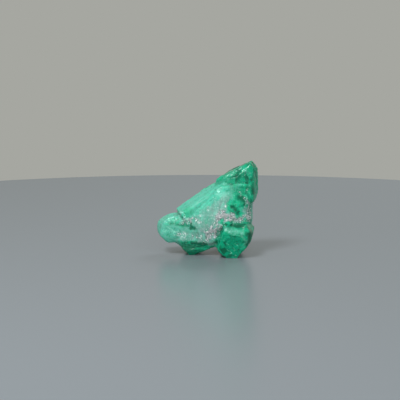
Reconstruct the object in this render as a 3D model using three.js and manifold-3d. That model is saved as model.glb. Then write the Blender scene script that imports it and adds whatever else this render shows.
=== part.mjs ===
// A raw emerald specimen: green beryl crystals grown together with a pale vein rock, all one solid.
// Millimetres, +Z up. X runs along the specimen, Y from its front to its back.
// The origin is on the surface it rests on, below the middle of its outline seen from above.
import * as THREE from "three";
import { ConvexGeometry } from "three/addons/geometries/ConvexGeometry.js";
import { mergeVertices } from "three/addons/utils/BufferGeometryUtils.js";
import Module from "manifold-3d";

const wasm = await Module();
wasm.setup();

// Driving dimensions.
const FLOOR = 0; // height of the three feet's flat undersides
const SIDES = 6;
const UP = new THREE.Vector3(0, 0, 1);
const GREEN = { color: 0x2f9d7c, roughness: 0.35, metalness: 0, flatShading: true };

// A plane that takes off whatever lies on the side it faces.
const cut = (through, facing) => ({ through, facing });

// Beryl crystals: six-sided prisms. Each starts buried in the rock at `root` and grows `toward`
// its free end. `reach` sets how far each corner stands out, as a share of the radius, because
// no natural prism is regular. `chamfer` blunts both ends, and `cuts` are broken or grown faces.
const CRYSTALS = {
  // The long pale prism that makes the slope.
  long: {
    root: [5.3, 0.7, 12.75],
    toward: [-0.81, -0.04, -0.585],
    length: 13.1,
    radius: 3.25,
    roll: 15,
    reach: [1, 1.02, 0.98, 1, 0.97, 1.01],
    chamfer: 0.45,
    cuts: [
      cut([-3.9, 0, 10.4], [-0.47, -0.06, 0.88]),
      cut([-6.6, 0, 8.8], [-0.8, -0.12, -0.58]),
    ],
  },
  // The deep green crystal that makes the point.
  cap: {
    root: [5.5, 0.3, 9.6],
    toward: [0.01, 0.03, 1],
    length: 10,
    radius: 3.45,
    roll: 12,
    reach: [1, 1, 0.97, 1.35, 0.98, 1.03],
    chamfer: 0.3,
    cuts: [
      cut([7.5, 1, 17.1], [-0.45, 0.06, 0.89]),
      cut([8.1, 0, 16.45], [0.78, -0.1, 0.6]),
      cut([9.1, 0, 13.9], [0.98, 0, 0.17]),
      cut([9.35, 0, 12.6], [0.93, -0.1, -0.36]),
      cut([7, 3, 14.6], [0.15, 0.8, 0.55]),
      cut([5, -2.9, 14.2], [-0.12, -0.95, 0.3]),
      cut([3.2, -2.6, 13.4], [-0.5, -0.8, 0.3]),
      cut([4.6, -2.3, 14.9], [-0.4, -0.66, 0.64]),
    ],
  },
  // The pale blunt crystal that points left.
  nose: {
    root: [-2.2, 0.3, 5.05],
    toward: [-0.99, -0.06, -0.06],
    length: 7.4,
    radius: 2.95,
    roll: 30,
    reach: [1, 0.97, 1.03, 1, 1.02, 0.96],
    chamfer: 0.9,
    cuts: [
      cut([-9.3, 0, 5.5], [-0.93, -0.3, 0.2]),
      cut([-8.5, 0, 2.75], [-0.7, -0.1, -0.7]),
      cut([-7.6, 0, 1.85], [-0.3, -0.12, -0.94]),
      cut([-8.3, 0, 6.55], [-0.5, -0.12, 0.85]),
      cut([-6, -2.1, 4.6], [-0.06, -0.99, -0.1]),
    ],
  },
  // The deep green crystal seen end on, whose lower edge is one of the feet.
  front: {
    root: [4.9, 1.2, 3.7],
    toward: [-0.04, -0.99, -0.1],
    length: 6.9,
    radius: 3.9,
    roll: 4,
    reach: [1, 0.98, 1.05, 1.2, 1.25, 1],
    chamfer: 0.5,
    cuts: [
      cut([5.1, -5.64, 4.7], [0.02, -0.86, 0.51]),
      cut([5.1, -5.3, 3.2], [-0.03, -0.97, -0.22]),
      cut([6.8, -5.35, 4.2], [0.6, -0.75, -0.15]),
      cut([4.8, -3, 6.45], [0.03, -0.05, 1]),
      cut([8.1, -3, 6.2], [0.9, -0.05, 0.45]),
      cut([7.95, -3, 4.8], [0.96, -0.05, -0.28]),
      cut([6.9, -3, 2.15], [0.8, -0.05, -0.6]),
      cut([5.8, -3, 0.8], [0.75, -0.1, -0.65]),
      cut([1.9, -3, 4.3], [-0.96, -0.06, 0.26]),
      cut([0.95, -3, 2.0], [-0.9, -0.1, -0.43]),
      cut([1.35, -3, 1.0], [-0.58, -0.1, -0.81]),
    ],
  },
  // The dark crystal that lies under the left side and makes the second foot.
  foot: {
    root: [1.0, 0.2, 2.0],
    toward: [-1, -0.1, -0.02],
    length: 6.4,
    radius: 2.5,
    roll: 20,
    reach: [1, 1.02, 0.97, 1, 1.03, 0.98],
    chamfer: 0.4,
    cuts: [
      cut([-5, 0, 0.9], [-0.68, -0.1, -0.72]),
      cut([-1.34, 0, 0.51], [0.37, -0.06, -0.93]),
      cut([-2, -2.3, 2.4], [-0.1, -0.95, 0.3]),
    ],
  },
  // The large prism that leans up the back.
  back: {
    root: [3.8, 2.6, 2.2],
    toward: [-0.42, 0.16, 0.89],
    length: 9.6,
    radius: 2.5,
    roll: 22,
    reach: [1, 1.03, 0.96, 1.02, 0.98, 1],
    chamfer: 0.35,
    cuts: [
      cut([-1.5, 3.5, 9.2], [-0.5, 0.2, 0.84]),
      cut([0, 5.2, 7.5], [-0.1, 0.93, 0.35]),
    ],
  },
  // The stub at the back that makes the third foot.
  heel: {
    root: [3.6, 0.8, 3.2],
    toward: [0.12, 0.9, -0.4],
    length: 5.9,
    radius: 2.3,
    roll: 8,
    reach: [1, 0.98, 1.02, 1, 1.04, 0.97],
    chamfer: 0.4,
    cuts: [
      cut([4.2, 5.4, 1.6], [0.1, 0.94, 0.3]),
      cut([6, 3, 1.2], [0.85, 0.1, -0.5]),
    ],
  },
  // A small prism low on the back.
  spur: {
    root: [-1.4, 1.8, 4.2],
    toward: [-0.62, 0.76, -0.18],
    length: 4.3,
    radius: 1.8,
    roll: 14,
    reach: [1, 1.02, 0.98, 1, 0.97, 1.03],
    chamfer: 0.35,
    cuts: [],
  },
  // Two small crystals that show in the rock below the point.
  bud_high: {
    root: [5.5, -1.1, 9.9],
    toward: [0.12, -0.96, 0.24],
    length: 2.4,
    radius: 1.25,
    roll: 10,
    reach: [1.1, 0.8, 1.05, 0.9, 1.15, 0.85],
    chamfer: 0.35,
    cuts: [cut([5.8, -3.15, 10.3], [-0.15, -0.97, 0.15])],
  },
  bud_low: {
    root: [4.5, -1.2, 8.3],
    toward: [-0.12, -0.97, 0.2],
    length: 2.5,
    radius: 1.2,
    roll: 38,
    reach: [0.8, 1.15, 0.9, 1.1, 0.75, 1.05],
    chamfer: 0.35,
    cuts: [cut([4.5, -3.5, 8.3], [0.15, -0.97, 0.15])],
  },
  // A knob on the upper left corner of the crystal seen end on.
  knob: {
    root: [3.3, -3.4, 5.95],
    toward: [-0.12, -0.97, 0.16],
    length: 1.9,
    radius: 1,
    roll: 20,
    reach: [1, 0.9, 1.05, 0.95, 1.05, 0.9],
    chamfer: 0.3,
    cuts: [],
  },
};

// The vein rock between the crystals: four blocky masses, each the hull of its corners.
const ROCKS = {
  // The milky middle, which fills the front between the crystals.
  heart: [
    [2, -2.5, 12.9],
    [4.6, -2.9, 13.45],
    [7.4, -2.5, 13.15],
    [8.1, -1, 12.4],
    [8, 1.4, 11.2],
    [-0.8, -2.5, 10.2],
    [-2.8, -2.5, 8.3],
    [-3.8, -2.3, 7.2],
    [0.8, -3.3, 9.4],
    [3.6, -3.4, 9.6],
    [6.4, -2.9, 8.6],
    [7.9, -1.6, 8.6],
    [7.7, -1.8, 6.4],
    [6.4, -3, 5.6],
    [3, -3.9, 6.6],
    [0.8, -3.9, 6.4],
    [1.2, -3.5, 3.4],
    [0.2, -3.1, 2.3],
    [-1.8, -3.1, 2.7],
    [-4, -2.4, 3.1],
    [-4.4, -2.3, 5],
    [1.8, 3, 11.6],
    [6.2, 3.3, 12.6],
    [7.7, 2.8, 8],
    [7.4, 2.8, 4.4],
    [1, 3.6, 5],
  ],
  // The mass under the left side, behind the second foot.
  flank: [
    [-5, -1.6, 6.6],
    [-3.2, -2.7, 6.2],
    [-4.6, -2.2, 2.6],
    [-6.7, -1.7, 2.6],
    [-3.4, -1.4, 8.4],
    [-5.2, 0.8, 7.4],
    [-3.8, 2.8, 7],
    [-6.3, -0.8, 2],
    [-5.2, -0.6, 1.1],
    [-2.2, -2.9, 2.4],
    [-3.4, 2.9, 2.6],
    [1.4, 2, 1.3],
    [1.6, -2.6, 1.7],
    [1, 3.8, 6.4],
    [0.6, -1.5, 8.6],
  ],
  // The sugary seam that stands out beside the green crystal.
  ridge: [
    [0.9, -3.9, 8],
    [2.8, -4, 7.9],
    [4.6, -3.3, 7],
    [3.4, -4.1, 6.5],
    [1.4, -4.3, 6],
    [0.7, -4.1, 4.6],
    [0.2, -3.5, 6.8],
    [1.6, -2.4, 8.8],
    [2.6, -2.4, 4.6],
  ],
  // The mass that fills the back between the prisms.
  rear: [
    [6.9, 3.4, 9.6],
    [6.6, 3.8, 5.2],
    [3.2, 4.9, 8.8],
    [2.4, 5, 5.2],
    [-1.2, 4.4, 6.6],
    [-3.2, 3.4, 5.6],
    [-2.6, 3.6, 3],
    [1.4, 4.4, 2.4],
    [5.4, 4.2, 2.6],
    [4.4, 3.6, 11.8],
    [0.6, 3.4, 10.2],
    [-2.4, 2.6, 8.2],
    [5.6, 0.6, 4],
    [0.4, 0.6, 3.6],
  ],
};

// Radial corners of an uneven hexagon.
function hexagon({ radius, roll, reach }) {
  const corners = reach.map((share, i) => {
    const angle = THREE.MathUtils.degToRad(roll + (360 / SIDES) * i);
    return new THREE.Vector2(Math.cos(angle), Math.sin(angle)).multiplyScalar(radius * share);
  });
  return new THREE.Shape(corners);
}

// Turns a geometry into a solid: only positions are kept, so that shared corners merge.
function solidOf(geometry) {
  const bare = new THREE.BufferGeometry().setAttribute("position", geometry.getAttribute("position"));
  if (geometry.index) bare.setIndex(geometry.index);
  const merged = mergeVertices(bare, 1e-4);
  return new wasm.Manifold(
    new wasm.Mesh({
      numProp: 3,
      vertProperties: merged.attributes.position.array,
      triVerts: new Uint32Array(merged.index.array),
    }),
  );
}

// Cuts a solid by each plane in turn.
function cutBack(solid, cuts) {
  return cuts.reduce((left, { through, facing }) => {
    const outward = new THREE.Vector3(...facing).normalize();
    const offset = outward.dot(new THREE.Vector3(...through));
    return left.trimByPlane(outward.clone().negate().toArray(), -offset);
  }, solid);
}

function crystalSolid(crystal) {
  const { root, toward, length, chamfer, cuts } = crystal;
  const prism = new THREE.ExtrudeGeometry(hexagon(crystal), {
    depth: length - 2 * chamfer,
    bevelThickness: chamfer,
    bevelSize: chamfer,
    bevelOffset: -chamfer,
    bevelSegments: 1,
  });
  prism.translate(0, 0, chamfer);
  prism.applyQuaternion(
    new THREE.Quaternion().setFromUnitVectors(UP, new THREE.Vector3(...toward).normalize()),
  );
  prism.translate(...root);
  return cutBack(solidOf(prism), cuts);
}

function rockSolid(corners) {
  return solidOf(new ConvexGeometry(corners.map((corner) => new THREE.Vector3(...corner))));
}

// All masses joined, then cut off flat where it rests.
function specimenSolid() {
  const masses = [
    ...Object.values(CRYSTALS).map(crystalSolid),
    ...Object.values(ROCKS).map(rockSolid),
  ];
  const joined = masses.reduce((all, next) => all.add(next));
  return joined.trimByPlane([0, 0, 1], FLOOR);
}

// The solid as a geometry, moved so that the origin is below its middle.
function specimenGeometry() {
  const { vertProperties, triVerts, numProp, numVert } = specimenSolid().getMesh();
  const points = new Float32Array(numVert * 3);
  for (let i = 0; i < numVert; i++) {
    points.set(vertProperties.subarray(i * numProp, i * numProp + 3), i * 3);
  }
  const geometry = new THREE.BufferGeometry()
    .setAttribute("position", new THREE.BufferAttribute(points, 3))
    .setIndex(new THREE.BufferAttribute(triVerts, 1));
  geometry.computeBoundingBox();
  const { min, max } = geometry.boundingBox;
  geometry.translate(-(min.x + max.x) / 2, -(min.y + max.y) / 2, -min.z);
  return geometry;
}

const specimen = new THREE.Mesh(specimenGeometry(), new THREE.MeshStandardMaterial(GREEN));
specimen.name = "emerald_crystal";

const group = new THREE.Group();
group.add(specimen);
export default group;
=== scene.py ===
"""A raw emerald specimen: green beryl crystals grown together with pale, sugary vein rock.

The masses are modelled in millimetres, merged into one weathered surface, dressed by shaders that
read zones stored on that surface, and brought to metres last.
"""

import logging
import math
import random
from dataclasses import dataclass
from enum import Enum

import bmesh
import bpy
import numpy as np
from mathutils import Matrix, Vector, noise


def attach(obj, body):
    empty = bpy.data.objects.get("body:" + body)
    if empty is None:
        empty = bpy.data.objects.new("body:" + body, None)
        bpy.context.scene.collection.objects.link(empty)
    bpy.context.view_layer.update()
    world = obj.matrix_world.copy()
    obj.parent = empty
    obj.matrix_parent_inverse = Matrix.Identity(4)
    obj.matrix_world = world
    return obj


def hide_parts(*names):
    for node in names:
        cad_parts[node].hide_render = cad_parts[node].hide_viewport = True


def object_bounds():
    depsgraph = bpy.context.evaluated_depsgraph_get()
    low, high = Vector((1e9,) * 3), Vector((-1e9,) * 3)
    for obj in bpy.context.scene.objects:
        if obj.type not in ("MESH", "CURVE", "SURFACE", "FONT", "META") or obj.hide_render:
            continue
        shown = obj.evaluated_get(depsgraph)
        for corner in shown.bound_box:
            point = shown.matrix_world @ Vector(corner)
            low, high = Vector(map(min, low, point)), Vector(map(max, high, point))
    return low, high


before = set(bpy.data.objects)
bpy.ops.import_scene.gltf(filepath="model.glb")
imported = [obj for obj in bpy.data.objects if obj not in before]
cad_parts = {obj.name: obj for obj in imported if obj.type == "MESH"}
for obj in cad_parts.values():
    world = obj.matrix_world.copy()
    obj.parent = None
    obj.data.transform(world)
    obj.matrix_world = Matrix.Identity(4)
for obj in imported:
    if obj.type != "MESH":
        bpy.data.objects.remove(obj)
CAD_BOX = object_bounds()

MM = 0.001
NODE = "emerald_crystal"

Point = tuple[float, float, float]
log = logging.getLogger("emerald")


# ------------------------------------------------------------------ masses


class Habit(Enum):
    """How a mass grew, which settles its surface and its shader."""

    GLASSY = 0
    MILKY = 1
    MASSIVE = 2


@dataclass(frozen=True)
class Cut:
    """A flat face that takes off whatever lies on the side it faces."""

    through: Point
    facing: Point


GROUND = Cut((0, 0, 0), (0, 0, -1))


class Mass:
    """A convex mass of the specimen, in millimetres."""

    name: str
    habit: Habit
    deep: float
    worn: float

    def build(self) -> bmesh.types.BMesh:
        """Makes the mass as a closed mesh."""
        raise NotImplementedError

    def axis(self) -> Matrix:
        """Returns the turn from the specimen's axes to the mass's own growth axes."""
        return Matrix.Identity(3)

    def walls(self) -> np.ndarray:
        """Measures the planes that bound the mass.

        Returns:
            One row for each face: its outward normal and its distance from the origin.
        """
        shape = self.build()
        shape.normal_update()
        rows = [(*face.normal, face.normal.dot(face.verts[0].co)) for face in shape.faces]
        shape.free()
        return np.unique(np.round(np.array(rows), 5), axis=0)


def trim(shape: bmesh.types.BMesh, cut: Cut) -> None:
    """Cuts a closed convex mesh by a plane and closes it again.

    Args:
        shape: The mesh that loses its part in front of the plane.
        cut: The plane.
    """
    parts = shape.verts[:] + shape.edges[:] + shape.faces[:]
    sliced = bmesh.ops.bisect_plane(
        shape, geom=parts, dist=1e-5, plane_co=cut.through, plane_no=cut.facing, clear_outer=True
    )
    rim = [part for part in sliced["geom_cut"] if isinstance(part, bmesh.types.BMEdge)]
    if rim:
        bmesh.ops.edgeloop_fill(shape, edges=rim)
    bmesh.ops.recalc_face_normals(shape, faces=shape.faces)


@dataclass
class BerylCrystal(Mass):
    """A six-sided prism that starts buried at `root` and grows `toward` its free end."""

    name: str
    habit: Habit
    deep: float
    worn: float
    root: Point
    toward: Point
    length: float
    radius: float
    roll: float
    reach: tuple[float, ...]
    chamfer: float
    cuts: tuple[Cut, ...] = ()

    def axis(self) -> Matrix:
        """Returns the turn that brings the prism's axis upright."""
        return Vector((0, 0, 1)).rotation_difference(Vector(self.toward)).to_matrix().transposed()

    def build(self) -> bmesh.types.BMesh:
        """Extrudes an uneven hexagon, blunts its ends, tips it and cuts its faces.

        Returns:
            The crystal as a closed mesh, cut off at the ground.
        """
        shape = bmesh.new()
        bmesh.ops.create_circle(shape, cap_ends=True, segments=len(self.reach), radius=self.radius)
        for corner, share in zip(shape.verts, self.reach):
            corner.co *= share
        grown = bmesh.ops.extrude_face_region(shape, geom=shape.faces[:])["geom"]
        top = [part for part in grown if isinstance(part, bmesh.types.BMVert)]
        bmesh.ops.translate(shape, verts=top, vec=(0, 0, self.length))
        rims = [edge for edge in shape.edges if edge.verts[0].co.z == edge.verts[1].co.z]
        bmesh.ops.bevel(
            shape,
            geom=rims,
            offset=self.chamfer,
            segments=1,
            profile=0.5,
            affect="EDGES",
            material=-1,
        )
        spin = Matrix.Rotation(math.radians(self.roll - 90), 4, "Z")
        tip = self.axis().transposed().to_4x4()
        place = Matrix.Translation(self.root) @ tip @ spin
        bmesh.ops.transform(shape, matrix=place, verts=shape.verts)
        for cut in (*self.cuts, GROUND):
            trim(shape, cut)
        return shape


@dataclass
class VeinRock(Mass):
    """A blocky mass of vein rock: the hull of its corners."""

    name: str
    corners: tuple[Point, ...]
    deep: float = 0.0
    worn: float = 1.0
    habit: Habit = Habit.MASSIVE

    def build(self) -> bmesh.types.BMesh:
        """Wraps the corners in their hull.

        Returns:
            The rock as a closed mesh.
        """
        shape = bmesh.new()
        for corner in self.corners:
            shape.verts.new(corner)
        hull = bmesh.ops.convex_hull(shape, input=shape.verts)
        bmesh.ops.delete(shape, geom=hull["geom_interior"], context="VERTS")
        bmesh.ops.recalc_face_normals(shape, faces=shape.faces)
        trim(shape, GROUND)
        return shape


MASSES: tuple[Mass, ...] = (
    BerylCrystal(
        name="long_prism", habit=Habit.MILKY, deep=0.12, worn=0.55,
        root=(5.3, 0.7, 12.75), toward=(-0.81, -0.04, -0.585), length=13.1, radius=3.25,
        roll=15, reach=(1, 1.02, 0.98, 1, 0.97, 1.01), chamfer=0.45,
        cuts=(
            Cut((-3.9, 0, 10.4), (-0.47, -0.06, 0.88)),
            Cut((-6.6, 0, 8.8), (-0.8, -0.12, -0.58)),
        ),
    ),
    BerylCrystal(
        name="cap", habit=Habit.GLASSY, deep=0.8, worn=0.3,
        root=(5.5, 0.3, 9.6), toward=(0.01, 0.03, 1), length=10, radius=3.45,
        roll=12, reach=(1, 1, 0.97, 1.35, 0.98, 1.03), chamfer=0.3,
        cuts=(
            Cut((7.5, 1, 17.1), (-0.45, 0.06, 0.89)),
            Cut((8.1, 0, 16.45), (0.78, -0.1, 0.6)),
            Cut((9.1, 0, 13.9), (0.98, 0, 0.17)),
            Cut((9.35, 0, 12.6), (0.93, -0.1, -0.36)),
            Cut((7, 3, 14.6), (0.15, 0.8, 0.55)),
            Cut((5, -2.9, 14.2), (-0.12, -0.95, 0.3)),
            Cut((3.2, -2.6, 13.4), (-0.5, -0.8, 0.3)),
            Cut((4.6, -2.3, 14.9), (-0.4, -0.66, 0.64)),
        ),
    ),
    BerylCrystal(
        name="nose", habit=Habit.MILKY, deep=0.15, worn=0.9,
        root=(-2.2, 0.3, 5.05), toward=(-0.99, -0.06, -0.06), length=7.4, radius=2.95,
        roll=30, reach=(1, 0.97, 1.03, 1, 1.02, 0.96), chamfer=0.9,
        cuts=(
            Cut((-9.3, 0, 5.5), (-0.93, -0.3, 0.2)),
            Cut((-8.5, 0, 2.75), (-0.7, -0.1, -0.7)),
            Cut((-7.6, 0, 1.85), (-0.3, -0.12, -0.94)),
            Cut((-8.3, 0, 6.55), (-0.5, -0.12, 0.85)),
            Cut((-6, -2.1, 4.6), (-0.06, -0.99, -0.1)),
        ),
    ),
    BerylCrystal(
        name="front", habit=Habit.GLASSY, deep=0.85, worn=0.35,
        root=(4.9, 1.2, 3.7), toward=(-0.04, -0.99, -0.1), length=6.9, radius=3.9,
        roll=4, reach=(1, 0.98, 1.05, 1.2, 1.25, 1), chamfer=0.5,
        cuts=(
            Cut((5.1, -5.64, 4.7), (0.02, -0.86, 0.51)),
            Cut((5.1, -5.3, 3.2), (-0.03, -0.97, -0.22)),
            Cut((6.8, -5.35, 4.2), (0.6, -0.75, -0.15)),
            Cut((4.8, -3, 6.45), (0.03, -0.05, 1)),
            Cut((8.1, -3, 6.2), (0.9, -0.05, 0.45)),
            Cut((7.95, -3, 4.8), (0.96, -0.05, -0.28)),
            Cut((6.9, -3, 2.15), (0.8, -0.05, -0.6)),
            Cut((5.8, -3, 0.8), (0.75, -0.1, -0.65)),
            Cut((1.9, -3, 4.3), (-0.96, -0.06, 0.26)),
            Cut((0.95, -3, 2.0), (-0.9, -0.1, -0.43)),
            Cut((1.35, -3, 1.0), (-0.58, -0.1, -0.81)),
        ),
    ),
    BerylCrystal(
        name="foot", habit=Habit.GLASSY, deep=1.05, worn=0.9,
        root=(1.0, 0.2, 2.0), toward=(-1, -0.1, -0.02), length=6.4, radius=2.5,
        roll=20, reach=(1, 1.02, 0.97, 1, 1.03, 0.98), chamfer=0.4,
        cuts=(
            Cut((-5, 0, 0.9), (-0.68, -0.1, -0.72)),
            Cut((-1.34, 0, 0.51), (0.37, -0.06, -0.93)),
            Cut((-2, -2.3, 2.4), (-0.1, -0.95, 0.3)),
        ),
    ),
    BerylCrystal(
        name="back", habit=Habit.GLASSY, deep=0.55, worn=0.25,
        root=(3.8, 2.6, 2.2), toward=(-0.42, 0.16, 0.89), length=9.6, radius=2.5,
        roll=22, reach=(1, 1.03, 0.96, 1.02, 0.98, 1), chamfer=0.35,
        cuts=(
            Cut((-1.5, 3.5, 9.2), (-0.5, 0.2, 0.84)),
            Cut((0, 5.2, 7.5), (-0.1, 0.93, 0.35)),
        ),
    ),
    BerylCrystal(
        name="heel", habit=Habit.GLASSY, deep=0.75, worn=0.25,
        root=(3.6, 0.8, 3.2), toward=(0.12, 0.9, -0.4), length=5.9, radius=2.3,
        roll=8, reach=(1, 0.98, 1.02, 1, 1.04, 0.97), chamfer=0.4,
        cuts=(
            Cut((4.2, 5.4, 1.6), (0.1, 0.94, 0.3)),
            Cut((6, 3, 1.2), (0.85, 0.1, -0.5)),
        ),
    ),
    BerylCrystal(
        name="spur", habit=Habit.GLASSY, deep=0.6, worn=0.25,
        root=(-1.4, 1.8, 4.2), toward=(-0.62, 0.76, -0.18), length=4.3, radius=1.8,
        roll=14, reach=(1, 1.02, 0.98, 1, 0.97, 1.03), chamfer=0.35,
    ),
    BerylCrystal(
        name="bud_high", habit=Habit.GLASSY, deep=0.9, worn=1.0,
        root=(5.5, -1.1, 9.9), toward=(0.12, -0.96, 0.24), length=2.4, radius=1.25,
        roll=10, reach=(1.1, 0.8, 1.05, 0.9, 1.15, 0.85), chamfer=0.35,
        cuts=(Cut((5.8, -3.15, 10.3), (-0.15, -0.97, 0.15)),),
    ),
    BerylCrystal(
        name="bud_low", habit=Habit.GLASSY, deep=0.9, worn=1.0,
        root=(4.5, -1.2, 8.3), toward=(-0.12, -0.97, 0.2), length=2.5, radius=1.2,
        roll=38, reach=(0.8, 1.15, 0.9, 1.1, 0.75, 1.05), chamfer=0.35,
        cuts=(Cut((4.5, -3.5, 8.3), (0.15, -0.97, 0.15)),),
    ),
    BerylCrystal(
        name="knob", habit=Habit.GLASSY, deep=0.7, worn=0.6,
        root=(3.3, -3.4, 5.95), toward=(-0.12, -0.97, 0.16), length=1.9, radius=1,
        roll=20, reach=(1, 0.9, 1.05, 0.95, 1.05, 0.9), chamfer=0.3,
    ),
    VeinRock(
        name="heart", deep=0.12,
        corners=(
            (2, -2.5, 12.9), (4.6, -2.9, 13.45), (7.4, -2.5, 13.15), (8.1, -1, 12.4), (8, 1.4, 11.2),
            (-0.8, -2.5, 10.2), (-2.8, -2.5, 8.3), (-3.8, -2.3, 7.2), (0.8, -3.3, 9.4), (3.6, -3.4, 9.6),
            (6.4, -2.9, 8.6), (7.9, -1.6, 8.6), (7.7, -1.8, 6.4), (6.4, -3, 5.6), (3, -3.9, 6.6),
            (0.8, -3.9, 6.4), (1.2, -3.5, 3.4), (0.2, -3.1, 2.3), (-1.8, -3.1, 2.7), (-4, -2.4, 3.1),
            (-4.4, -2.3, 5), (1.8, 3, 11.6), (6.2, 3.3, 12.6), (7.7, 2.8, 8), (7.4, 2.8, 4.4),
            (1, 3.6, 5),
        ),
    ),
    VeinRock(
        name="flank", deep=0.15,
        corners=(
            (-5, -1.6, 6.6), (-3.2, -2.7, 6.2), (-4.6, -2.2, 2.6), (-6.7, -1.7, 2.6), (-3.4, -1.4, 8.4),
            (-5.2, 0.8, 7.4), (-3.8, 2.8, 7), (-6.3, -0.8, 2), (-5.2, -0.6, 1.1), (-2.2, -2.9, 2.4),
            (-3.4, 2.9, 2.6), (1.4, 2, 1.3), (1.6, -2.6, 1.7), (1, 3.8, 6.4), (0.6, -1.5, 8.6),
        ),
    ),
    VeinRock(
        name="ridge", deep=0.05,
        corners=(
            (0.9, -3.9, 8), (2.8, -4, 7.9), (4.6, -3.3, 7), (3.4, -4.1, 6.5), (1.4, -4.3, 6),
            (0.7, -4.1, 4.6), (0.2, -3.5, 6.8), (1.6, -2.4, 8.8), (2.6, -2.4, 4.6),
        ),
    ),
    VeinRock(
        name="rear", deep=0.15,
        corners=(
            (6.9, 3.4, 9.6), (6.6, 3.8, 5.2), (3.2, 4.9, 8.8), (2.4, 5, 5.2), (-1.2, 4.4, 6.6),
            (-3.2, 3.4, 5.6), (-2.6, 3.6, 3), (1.4, 4.4, 2.4), (5.4, 4.2, 2.6), (4.4, 3.6, 11.8),
            (0.6, 3.4, 10.2), (-2.4, 2.6, 8.2), (5.6, 0.6, 4), (0.4, 0.6, 3.6),
        ),
    ),
)


# ------------------------------------------------------------------ zones


class Zone(Enum):
    """What a stored zone value means to the shaders and to the weathering."""

    DEEP = "deep"
    ROCK = "rock"
    SUGAR = "sugar"
    SHADE = "shade"
    EDGE = "edge"
    SEAM = "seam"
    MILK = "milk"
    # painted shade: how deep the skin lies in hollows, darkened as if in shadow
    HOLLOW = "hollow"
    # pale marks and crests, and painted glints on the crystals' ridges
    CREST = "crest"
    WEAR = "wear"

    @property
    def ceiling(self) -> float:
        """The zone's highest value: only the depth of green goes past 1."""
        return 1.5 if self is Zone.DEEP else 1.0


@dataclass(frozen=True)
class Patch:
    """A soft-edged lump of space where a zone is stronger, or weaker if its strength is negative."""

    zone: Zone
    start: Point
    end: Point
    radius: float
    strength: float


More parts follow.
